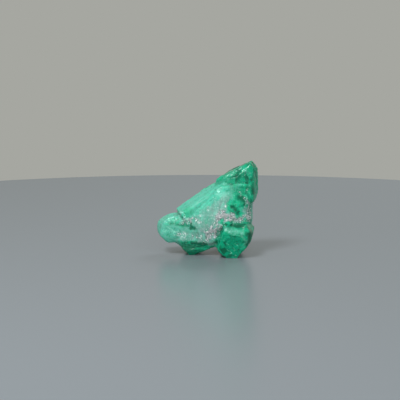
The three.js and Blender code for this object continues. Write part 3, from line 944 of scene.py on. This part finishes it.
class Sheet:
    """A node tree with short calls for the nodes that the finishes are made of."""

    def __init__(self, tree: bpy.types.NodeTree) -> None:
        """Starts on a tree, emptied first."""
        self.tree = tree
        tree.nodes.clear()

    def node(self, kind: str, **settings: object) -> bpy.types.Node:
        """Adds a node.

        Args:
            kind: The node's type name.
            **settings: Its own properties.

        Returns:
            The node.
        """
        made = self.tree.nodes.new(kind)
        for name, value in settings.items():
            setattr(made, name, value)
        return made

    def feed(self, socket: bpy.types.NodeSocket, source: object) -> None:
        """Links a socket to another, or sets its value.

        Args:
            socket: The input.
            source: A socket to link from, or a plain value.
        """
        if isinstance(source, bpy.types.NodeSocket):
            self.tree.links.new(source, socket)
        else:
            socket.default_value = source

    def math(self, operation: str, first: object, second: object, clamp: bool = False) -> object:
        """Adds a Math node and returns its result."""
        made = self.node("ShaderNodeMath", operation=operation, use_clamp=clamp)
        self.feed(made.inputs[0], first)
        self.feed(made.inputs[1], second)
        return made.outputs[0]

    def plus(self, first: object, second: object) -> object:
        """Adds two values."""
        return self.math("ADD", first, second)

    def minus(self, first: object, second: object) -> object:
        """Takes the second value from the first."""
        return self.math("SUBTRACT", first, second)

    def times(self, first: object, second: object) -> object:
        """Multiplies two values."""
        return self.math("MULTIPLY", first, second)

    def larger(self, first: object, second: object) -> object:
        """Keeps the larger of two values."""
        return self.math("MAXIMUM", first, second)

    def swing(self, value: object, width: float) -> object:
        """Turns a value from 0 to 1 into one that swings evenly about 0."""
        return self.times(self.minus(value, 0.5), width)

    def mix(self, share: object, low: object, high: object) -> object:
        """Adds a colour mix and returns its result: its colours are inputs 6 and 7 and output 2."""
        made = self.node("ShaderNodeMix", data_type="RGBA")
        self.feed(made.inputs[0], share)
        self.feed(made.inputs[6], low)
        self.feed(made.inputs[7], high)
        return made.outputs[2]

    def ramp(self, value: object, low: float, high: float, at_low: float = 0, at_high: float = 1) -> object:
        """Adds a smooth clamped range and returns its result."""
        made = self.node("ShaderNodeMapRange", interpolation_type="SMOOTHSTEP")
        for socket, source in zip(made.inputs, (value, low, high, at_low, at_high)):
            self.feed(socket, source)
        return made.outputs[0]

    def noise(self, place: object, scale: float, detail: float = 3.0, rough: float = 0.55) -> object:
        """Adds a noise texture and returns its value."""
        made = self.node("ShaderNodeTexNoise")
        self.feed(made.inputs["Vector"], place)
        made.inputs["Scale"].default_value = scale
        made.inputs["Detail"].default_value = detail
        made.inputs["Roughness"].default_value = rough
        return made.outputs["Fac"]

    def scaled(self, place: object, scale: Point) -> object:
        """Scales a place along its axes: below 1, a pattern is drawn out along that axis."""
        made = self.node("ShaderNodeMapping")
        self.feed(made.inputs["Vector"], place)
        made.inputs["Scale"].default_value = scale
        return made.outputs[0]

    def spot(self) -> object:
        """Reads the place on the object, in millimetres."""
        return self.scaled(self.node("ShaderNodeTexCoord").outputs["Object"], (1 / MM, 1 / MM, 1 / MM))

    def zone(self, zone: Zone) -> object:
        """Reads a stored zone."""
        return self.node("ShaderNodeAttribute", attribute_name=zone.value).outputs["Fac"]


COLOUR, VALUE, VECTOR = "NodeSocketColor", "NodeSocketFloat", "NodeSocketVector"


def new_group(name: str, inputs: dict[str, str], outputs: dict[str, str]) -> tuple[Sheet, object, object]:
    """Starts a shader node group.

    Args:
        name: The group's name.
        inputs: Socket names and their types.
        outputs: Socket names and their types.

    Returns:
        The group's sheet, its input sockets and its output sockets.
    """
    tree = bpy.data.node_groups.new(name, "ShaderNodeTree")
    sheet = Sheet(tree)
    for label, kind in inputs.items():
        tree.interface.new_socket(label, in_out="INPUT", socket_type=kind)
    for label, kind in outputs.items():
        tree.interface.new_socket(label, in_out="OUTPUT", socket_type=kind)
    return sheet, sheet.node("NodeGroupInput").outputs, sheet.node("NodeGroupOutput").inputs


def grain_group() -> bpy.types.NodeTree:
    """Builds the crystalline grain: a crisp speckle and a height, for any cell size.

    Returns:
        The node group.
    """
    sheet, given, result = new_group(
        "crystal_grain", {"Place": VECTOR, "Scale": VALUE}, {"Speck": VALUE, "Height": VALUE}
    )
    cells = sheet.node("ShaderNodeTexVoronoi", feature="F1")
    sheet.feed(cells.inputs["Vector"], given["Place"])
    sheet.feed(cells.inputs["Scale"], given["Scale"])
    split = sheet.node("ShaderNodeSeparateColor")
    sheet.feed(split.inputs[0], cells.outputs["Color"])
    tilt = sheet.times(split.outputs[1], cells.outputs["Distance"])
    sheet.feed(result["Speck"], split.outputs[0])
    sheet.feed(result["Height"], sheet.plus(split.outputs[2], tilt))
    return sheet.tree


def veil_group() -> bpy.types.NodeTree:
    """Builds the healed cracks that run through beryl as thin pale wisps.

    Returns:
        The node group.
    """
    bend_scale, bend_reach, line_width, patch_scale = 1.4, 0.5, 0.03, 1.1
    sheet, given, result = new_group("healed_cracks", {"Place": VECTOR, "Scale": VALUE}, {"Veil": VALUE})
    warp = sheet.node("ShaderNodeTexNoise")
    sheet.feed(warp.inputs["Vector"], given["Place"])
    sheet.feed(warp.inputs["Scale"], sheet.times(given["Scale"], bend_scale))
    bend = sheet.node("ShaderNodeVectorMath", operation="SCALE")
    sheet.feed(bend.inputs[0], warp.outputs["Color"])
    bend.inputs["Scale"].default_value = bend_reach
    moved = sheet.node("ShaderNodeVectorMath", operation="ADD")
    sheet.feed(moved.inputs[0], given["Place"])
    sheet.feed(moved.inputs[1], bend.outputs[0])
    cells = sheet.node("ShaderNodeTexVoronoi", feature="DISTANCE_TO_EDGE")
    sheet.feed(cells.inputs["Vector"], moved.outputs[0])
    sheet.feed(cells.inputs["Scale"], given["Scale"])
    line = sheet.ramp(cells.outputs["Distance"], 0, line_width, 1, 0)
    patchy = sheet.noise(given["Place"], patch_scale)
    sheet.feed(result["Veil"], sheet.times(line, sheet.ramp(patchy, 0.52, 0.66)))
    return sheet.tree


@dataclass(frozen=True)
class BerylColour:
    """The specimen's colours, and the node group that mixes them by its stored zones.

    Each method adds its own nodes and returns a socket. A ramp's first two numbers are where in the
    value it starts and ends, and a noise's first number is its scale, per millimetre.
    """

    deep: int = 0x00AE83
    darkest: int = 0x026C4F
    mint: int = 0x38B599
    milk: int = 0x74BFAD
    rock: int = 0x68A394
    grey: int = 0x848B90
    frost: int = 0xF4F6F9
    rime_and_glint: int = 0xA8F2DC
    fleck: int = 0x45CDA9
    streak_draw: float = 0.24
    thread_draw: float = 0.22
    plane_blur: float = 0.35

    def depth(self, sheet: Sheet, drawn: object, streak: object, cloud: object) -> object:
        """Strays from the stored depth of green in streaks, clouds and flat growth planes."""
        stored = sheet.zone(Zone.DEEP)
        wander = sheet.plus(sheet.swing(streak, 0.9), sheet.swing(cloud, 0.7))
        cells = sheet.node("ShaderNodeTexVoronoi", feature="SMOOTH_F1")
        sheet.feed(cells.inputs["Vector"], drawn)
        cells.inputs["Scale"].default_value = 1.0
        cells.inputs["Smoothness"].default_value = self.plane_blur
        split = sheet.node("ShaderNodeSeparateColor")
        sheet.feed(split.inputs[0], cells.outputs["Color"])
        plane = sheet.times(sheet.swing(split.outputs[0], 0.7), sheet.ramp(stored, 0.3, 0.8))
        return sheet.plus(stored, sheet.plus(wander, plane))

    def green(self, sheet: Sheet, place: object, streak: object, cloud: object, depth: object) -> object:
        """Mixes the crystals' green: mint, deep and darkest by depth, with milk, flecks and wisps."""
        colour = sheet.mix(sheet.ramp(depth, 0.1, 0.5), tone(self.mint), tone(self.deep))
        colour = sheet.mix(sheet.ramp(depth, 0.75, 1.3), colour, tone(self.darkest))
        milky = sheet.times(sheet.zone(Zone.MILK), sheet.ramp(streak, 0.3, 0.65, 0.25, 0.8))
        colour = sheet.mix(milky, colour, tone(self.milk))
        wisp = sheet.noise(place, 2.1, 4.0, 0.7)
        flecked = sheet.times(sheet.ramp(wisp, 0.55, 0.66), sheet.ramp(cloud, 0.4, 0.6, 0.25, 0.85))
        flecked = sheet.times(flecked, sheet.ramp(depth, 0.5, 1.0, 1.0, 0.35))
        colour = sheet.mix(flecked, colour, tone(self.fleck))
        return sheet.mix(sheet.ramp(wisp, 0.46, 0.36, 0, 0.4), colour, tone(self.darkest))

    def stony(self, sheet: Sheet, place: object, sugar: object, cloud: object) -> object:
        """Mixes the vein rock: greyer where sugary or cloudy, with pale and green upright threads."""
        threads = sheet.noise(sheet.scaled(place, (1.0, 1.0, self.thread_draw)), 1.5, 4.0, 0.62)
        greyness = sheet.plus(sugar, sheet.ramp(cloud, 0.45, 0.75, 0, 0.5))
        colour = sheet.mix(greyness, tone(self.rock), tone(self.grey))
        colour = sheet.mix(sheet.ramp(threads, 0.46, 0.68, 0, 0.85), colour, tone(self.milk))
        return sheet.mix(sheet.ramp(threads, 0.46, 0.28, 0, 0.4), colour, tone(self.deep))

    def rocky(self, sheet: Sheet, place: object) -> object:
        """Works out the share of rock colour: blotchy, and less where the green runs deep."""
        share = sheet.plus(sheet.zone(Zone.ROCK), sheet.minus(sheet.noise(place, 1.5, 2.0, 0.5), 0.5))
        share = sheet.minus(share, sheet.times(sheet.zone(Zone.DEEP), 0.6))
        return sheet.ramp(share, 0.15, 0.85)

    def darkness(self, sheet: Sheet, speck: object, fine: object, salted: object) -> object:
        """Gathers what darkens: pepper among the sugar, shade, seams, and painted shade in the hollows."""
        pepper = sheet.times(sheet.ramp(speck, 0.14, 0.08), salted)
        dark = sheet.larger(sheet.times(pepper, 0.6), sheet.zone(Zone.SHADE))
        seam = sheet.times(sheet.zone(Zone.SEAM), sheet.ramp(fine, 0.45, 0.6))
        dark = sheet.larger(dark, sheet.times(seam, 0.16))
        # painted shade in the skin's hollows
        return sheet.larger(dark, sheet.times(sheet.zone(Zone.HOLLOW), 0.3))

    def group(self) -> bpy.types.NodeTree:
        """Builds the colouring.

        Returns:
            The node group: its colour, and how frosted the surface is.
        """
        sheet, given, result = new_group(
            "beryl_colour",
            {"Place": VECTOR, "Growth": VECTOR, "Speck": VALUE, "Veil": VALUE},
            {"Color": COLOUR, "Frost": VALUE},
        )
        place, speck = given["Place"], given["Speck"]
        drawn = sheet.scaled(given["Growth"], (1.0, 1.0, self.streak_draw))
        streak = sheet.noise(drawn, 2.2, 4.0, 0.6)
        cloud = sheet.noise(place, 0.8, 3.0, 0.6)
        fine = sheet.noise(place, 3.6, 4.0, 0.65)
        sugar, rock = sheet.zone(Zone.SUGAR), sheet.zone(Zone.ROCK)

        # crystal and rock
        green = self.green(sheet, place, streak, cloud, self.depth(sheet, drawn, streak, cloud))
        stony = self.stony(sheet, place, sugar, cloud)
        colour = sheet.mix(self.rocky(sheet, place), green, stony)

        # the sugar's bed, then salt, worn edges and healed cracks: mint on crystal, white on rock
        pale = sheet.mix(sheet.ramp(rock, 0.3, 0.9), tone(self.rime_and_glint), tone(self.frost))
        dull = sheet.mix(rock, tone(self.milk), tone(self.grey))
        bed = sheet.mix(sheet.ramp(speck, 0.5, 0.95), dull, pale)
        colour = sheet.mix(sheet.times(sheet.ramp(sugar, 0.2, 0.85), 0.85), colour, bed)
        salted = sheet.ramp(sheet.plus(sugar, sheet.times(rock, 0.06)), 0.1, 0.6)
        salt = sheet.times(sheet.ramp(speck, 0.84, 0.9), salted)
        worn = sheet.times(sheet.zone(Zone.EDGE), sheet.ramp(fine, 0.52, 0.72))
        frost = sheet.larger(salt, sheet.times(worn, 0.14))
        frost = sheet.larger(frost, sheet.times(given["Veil"], 0.1))
        colour = sheet.mix(frost, colour, pale)

        # dark marks and painted shade, and over them the bright crests and painted glints
        colour = sheet.mix(self.darkness(sheet, speck, fine, salted), colour, tone(self.darkest))
        speckled = sheet.times(sheet.ramp(speck, 0.35, 0.75), sheet.ramp(fine, 0.35, 0.55))
        crest = sheet.times(sheet.zone(Zone.CREST), speckled)
        colour = sheet.mix(sheet.times(crest, 0.9), colour, pale)
        sheet.feed(result["Color"], colour)
        sheet.feed(result["Frost"], sheet.larger(frost, sheet.times(sugar, 0.6)))
        return sheet.tree


@dataclass(frozen=True)
class StoneFinish:
    """One habit's finish: how clear, how milky and how polished it is."""

    name: str
    transmission: float
    subsurface: float
    roughness: float
    rough_frost: float
    bump: float
    grain_bump: float
    absorption: float = 0.0
    ior: float = 1.57
    gloss: float = 0.2
    bleed: float = 1.8
    bleed_colours: Point = (0.45, 1.0, 0.8)
    inner: int = 0x4FD0A4
    grain_scales: tuple[float, float] = (2.4, 4.2)
    veil_scale: float = 0.55
    line_scale: float = 5.5
    line_draw: float = 0.07
    mottle_scale: float = 5.0
    mottle_bump: float = 0.6
    mottle_rough: float = 0.16

    def grains(self, sheet: Sheet, spot: object, group: bpy.types.NodeTree) -> list[bpy.types.Node]:
        """Places the grain at its coarse and at its fine scale."""
        made = []
        for scale in self.grain_scales:
            grain = sheet.node("ShaderNodeGroup", node_tree=group)
            sheet.feed(grain.inputs["Place"], spot)
            grain.inputs["Scale"].default_value = scale
            made.append(grain)
        return made

    def material(self, groups: dict[str, bpy.types.NodeTree]) -> bpy.types.Material:
        """Builds the material.

        Args:
            groups: The shared node groups by name.

        Returns:
            The material.
        """
        made = bpy.data.materials.new(self.name)
        made.use_nodes = True
        sheet = Sheet(made.node_tree)
        spot = sheet.spot()
        growth = sheet.node("ShaderNodeAttribute", attribute_name="growth").outputs["Vector"]
        coarse, fine = self.grains(sheet, spot, groups["grain"])
        veil = sheet.node("ShaderNodeGroup", node_tree=groups["veil"])
        sheet.feed(veil.inputs["Place"], spot)
        veil.inputs["Scale"].default_value = self.veil_scale
        colour = sheet.node("ShaderNodeGroup", node_tree=groups["colour"])
        sheet.feed(colour.inputs["Place"], spot)
        sheet.feed(colour.inputs["Growth"], growth)
        sheet.feed(colour.inputs["Speck"], fine.outputs["Speck"])
        sheet.feed(colour.inputs["Veil"], veil.outputs["Veil"])
        frost = colour.outputs["Frost"]

        # growth lines, mottling and grit, as a height
        lines = sheet.noise(sheet.scaled(growth, (1.0, 1.0, self.line_draw)), self.line_scale, 3.0, 0.6)
        mottle = sheet.noise(spot, self.mottle_scale, 3.0, 0.6)
        grit = sheet.plus(coarse.outputs["Height"], fine.outputs["Height"])
        grit = sheet.times(grit, sheet.plus(frost, self.grain_bump))
        height = sheet.plus(sheet.plus(lines, sheet.times(mottle, self.mottle_bump)), grit)
        bump = sheet.node("ShaderNodeBump")
        bump.inputs["Distance"].default_value = self.bump * MM
        sheet.feed(bump.inputs["Height"], height)

        rough = sheet.plus(sheet.swing(mottle, self.mottle_rough), self.roughness)
        rough = sheet.math("ADD", rough, sheet.times(frost, self.rough_frost), clamp=True)
        surface = sheet.node("ShaderNodeBsdfPrincipled")
        sheet.feed(surface.inputs["Base Color"], colour.outputs["Color"])
        sheet.feed(surface.inputs["Roughness"], rough)
        sheet.feed(surface.inputs["Normal"], bump.outputs["Normal"])
        surface.inputs["IOR"].default_value = self.ior
        surface.inputs["Specular IOR Level"].default_value = self.gloss
        surface.inputs["Transmission Weight"].default_value = self.transmission
        surface.inputs["Subsurface Weight"].default_value = self.subsurface
        surface.inputs["Subsurface Radius"].default_value = self.bleed_colours
        surface.inputs["Subsurface Scale"].default_value = self.bleed * MM
        end = sheet.node("ShaderNodeOutputMaterial")
        sheet.feed(end.inputs["Surface"], surface.outputs["BSDF"])
        if self.absorption:
            inside = sheet.node("ShaderNodeVolumeAbsorption")
            inside.inputs["Color"].default_value = tone(self.inner)
            inside.inputs["Density"].default_value = self.absorption
            sheet.feed(end.inputs["Volume"], inside.outputs[0])
        return made


FINISHES: dict[Habit, StoneFinish] = {
    Habit.GLASSY: StoneFinish("glassy_beryl", 0.25, 0.45, 0.13, 0.3, 0.028, 0.05, 60.0),
    Habit.MILKY: StoneFinish("milky_beryl", 0.08, 0.75, 0.22, 0.25, 0.05, 0.08, 60.0),
    Habit.MASSIVE: StoneFinish("vein_rock", 0.0, 0.6, 0.34, 0.1, 0.05, 0.06),
}


# ------------------------------------------------------------------ loose grains


@dataclass
class SugarGrains:
    """Tiny blocky crystals that stand on the sugary seams and the frosted breaks."""

    count: int = 1300
    smallest: float = 0.1
    largest: float = 0.3
    thinnest: float = 0.12
    shrink: tuple[float, float] = (0.7, 1.0)
    lean: float = 0.6
    stretch: tuple[float, float] = (0.6, 1.2)
    taper: tuple[float, float] = (0.2, 0.45)
    height: tuple[float, float] = (0.7, 1.3)
    seed: int = 7

    def build(self, stone: bpy.types.Object) -> bpy.types.Object:
        """Sows the grains where the stone is sugary.

        Args:
            stone: The stone, with its zones stored.

        Returns:
            All the grains as one object.
        """
        dice = random.Random(self.seed)
        mesh = stone.data
        sugar = stored(mesh, Zone.SUGAR) * np.clip(stored(mesh, Zone.ROCK), 0, 1)
        spots = [i for i in np.nonzero(sugar > self.thinnest)[0] if dice.random() < sugar[i] ** 2]
        chosen = dice.sample(spots, min(self.count, len(spots)))
        seed = bmesh.new()
        for index in chosen:
            vertex = mesh.vertices[index]
            self.sow(seed, dice, vertex.co, vertex.normal)
        grains = bpy.data.meshes.new("sugar_grains")
        seed.to_mesh(grains)
        seed.free()
        made = bpy.data.objects.new("sugar_grains", grains)
        bpy.context.collection.objects.link(made)
        return made

    def sow(self, bed: bmesh.types.BMesh, dice: random.Random, spot: Vector, out: Vector) -> None:
        """Adds one grain: a lopsided six-sided block with blunted ends.

        Args:
            bed: The mesh that takes it.
            dice: The random source.
            spot: Where it stands.
            out: The surface's normal there.
        """
        size = dice.uniform(self.smallest, self.largest) * dice.uniform(*self.shrink) * MM
        lean = Vector([dice.gauss(0, self.lean) for _ in range(3)])
        turn = Vector((0, 0, 1)).rotation_difference(out + lean).to_matrix().to_4x4()
        stretch = [size * dice.uniform(*self.stretch) for _ in range(3)]
        place = Matrix.Translation(spot) @ turn @ Matrix.Diagonal((*stretch, 1))
        bmesh.ops.create_cone(
            bed,
            cap_ends=True,
            segments=6,
            radius1=0.5,
            radius2=dice.uniform(*self.taper),
            depth=dice.uniform(*self.height),
            matrix=place,
        )


@dataclass(frozen=True)
class GrainFinish:
    """Clear to white sugary grains."""

    name: str = "sugar_grain"
    dull: int = 0x96A7A6
    bright: int = 0xD8DEE2
    tint_scale: float = 4.0
    roughness: float = 0.12
    tint_rough: float = 0.5
    ior: float = 1.55
    transmission: float = 0.06
    subsurface: float = 0.5
    bleed: float = 0.5
    bleed_colours: Point = (0.9, 1.0, 1.0)

    def material(self) -> bpy.types.Material:
        """Builds the material: pale and milky, with a tint that varies from grain to grain.

        Returns:
            The material.
        """
        made = bpy.data.materials.new(self.name)
        made.use_nodes = True
        sheet = Sheet(made.node_tree)
        tint = sheet.noise(sheet.spot(), self.tint_scale, 2.0)
        colour = sheet.mix(sheet.ramp(tint, 0.35, 0.65), tone(self.dull), tone(self.bright))
        surface = sheet.node("ShaderNodeBsdfPrincipled")
        sheet.feed(surface.inputs["Base Color"], colour)
        rough = sheet.plus(sheet.times(tint, self.tint_rough), self.roughness)
        sheet.feed(surface.inputs["Roughness"], rough)
        surface.inputs["IOR"].default_value = self.ior
        surface.inputs["Transmission Weight"].default_value = self.transmission
        surface.inputs["Subsurface Weight"].default_value = self.subsurface
        surface.inputs["Subsurface Radius"].default_value = self.bleed_colours
        surface.inputs["Subsurface Scale"].default_value = self.bleed * MM
        end = sheet.node("ShaderNodeOutputMaterial")
        sheet.feed(end.inputs["Surface"], surface.outputs["BSDF"])
        return made


# ------------------------------------------------------------------ studio


@dataclass(frozen=True)
class Lamp:
    """A soft panel of light, placed round the specimen."""

    name: str
    azimuth: float
    elevation: float
    distance: float
    size: float
    power: float
    mirrored: bool = True

    def build(self, aim: Vector) -> None:
        """Hangs the panel so that it faces the aim.

        Args:
            aim: The point it faces.
        """
        panel = bpy.data.lights.new(self.name, "AREA")
        panel.size = self.size
        panel.energy = self.power
        lamp = bpy.data.objects.new(self.name, panel)
        lamp.visible_camera = False
        lamp.visible_glossy = self.mirrored
        turn, rise = math.radians(self.azimuth), math.radians(self.elevation)
        away = Vector((math.sin(turn) * math.cos(rise), -math.cos(turn) * math.cos(rise), math.sin(rise)))
        lamp.location = aim + away * self.distance
        lamp.rotation_mode = "QUATERNION"
        lamp.rotation_quaternion = away.to_track_quat("Z", "Y")
        bpy.context.collection.objects.link(lamp)


@dataclass
class Studio:
    """The table, the lights, the backdrop's tone and the camera."""

    table_radius: float = 0.140
    table_behind: float = 0.092
    table_thick: float = 0.004
    table_rim: float = 0.001
    table_tone: int = 0x788087
    table_roughness: float = 0.26
    distance: float = 0.300
    elevation: float = 10.0
    lens: float = 147.0
    sensor: float = 36.0
    clip: tuple[float, float] = (0.01, 10.0)
    aside: float = 0.0014
    above: float = 0.00133
    backdrop: int = 0xA6A7A1
    lamps: tuple[Lamp, ...] = (
        Lamp("key", -32, 52, 0.22, 0.06, 0.33),
        Lamp("fill", 6, 12, 0.35, 0.30, 0.64, mirrored=False),
        Lamp("low", -52, 4, 0.30, 0.12, 0.11, mirrored=False),
        Lamp("rim", 150, 40, 0.24, 0.10, 0.2, mirrored=False),
        Lamp("glint", 38, 34, 0.24, 0.03, 0.05),
    )

    def table(self) -> bpy.types.Object:
        """Makes the round table top with a rounded rim.

        Returns:
            The table.
        """
        disc = bmesh.new()
        bmesh.ops.create_cone(
            disc,
            cap_ends=True,
            segments=256,
            radius1=self.table_radius,
            radius2=self.table_radius,
            depth=self.table_thick,
            matrix=Matrix.Translation((0, self.table_behind - self.table_radius, -self.table_thick / 2)),
        )
        rims = [edge for edge in disc.edges if edge.verts[0].co.z == edge.verts[1].co.z]
        bmesh.ops.bevel(
            disc, geom=rims, offset=self.table_rim, segments=3, profile=0.5, affect="EDGES", material=-1
        )
        mesh = bpy.data.meshes.new("table")
        disc.to_mesh(mesh)
        disc.free()
        top = bpy.data.objects.new("table", mesh)
        bpy.context.collection.objects.link(top)
        mesh.materials.append(self.table_material())
        return top

    def table_material(self) -> bpy.types.Material:
        """Builds the table's plain glossy finish.

        Returns:
            The material.
        """
        made = bpy.data.materials.new("table_glass")
        made.use_nodes = True
        surface = made.node_tree.nodes["Principled BSDF"]
        surface.inputs["Base Color"].default_value = tone(self.table_tone)
        surface.inputs["Roughness"].default_value = self.table_roughness
        return made

    def build(self, box: tuple[Vector, Vector]) -> None:
        """Sets up everything round the specimen.

        Args:
            box: The specimen's lowest and highest corners.
        """
        middle = (box[0] + box[1]) / 2
        self.table()
        for lamp in self.lamps:
            lamp.build(middle)
        scene = bpy.context.scene
        scene.world = bpy.data.worlds.new("backdrop")
        scene.world.use_nodes = True
        scene.world.node_tree.nodes["Background"].inputs["Color"].default_value = tone(self.backdrop)
        scene.view_settings.view_transform = "Standard"
        lens = bpy.data.cameras.new("camera")
        lens.lens = self.lens
        lens.sensor_width = self.sensor
        lens.clip_start, lens.clip_end = self.clip
        camera = bpy.data.objects.new("camera", lens)
        rise = math.radians(self.elevation)
        back = Vector((0, -math.cos(rise), math.sin(rise)))
        up = Vector((0, math.sin(rise), math.cos(rise)))
        camera.location = middle + Vector((-self.aside, 0, 0)) + up * self.above + back * self.distance
        camera.rotation_mode = "QUATERNION"
        camera.rotation_quaternion = back.to_track_quat("Z", "Y")
        bpy.context.collection.objects.link(camera)
        scene.camera = camera


def main() -> None:
    """Builds the specimen and its studio, in order."""
    logging.basicConfig(level=logging.INFO, format="%(name)s: %(message)s")
    groups = {
        "grain": grain_group(),
        "veil": veil_group(),
        "colour": BerylColour().group(),
    }
    stone = Stone(MASSES, PATCHES).build()
    for habit in Habit:
        stone.data.materials.append(FINISHES[habit].material(groups))
    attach(stone, "root")
    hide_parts(NODE)
    log.info("%s: %d faces", stone.name, len(stone.data.polygons))
    grains = SugarGrains().build(stone)
    grains.data.materials.append(GrainFinish().material())
    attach(grains, "root")
    log.info("%s: %d faces", grains.name, len(grains.data.polygons))
    Studio().build(CAD_BOX)


if __name__ == "__main__":
    main()
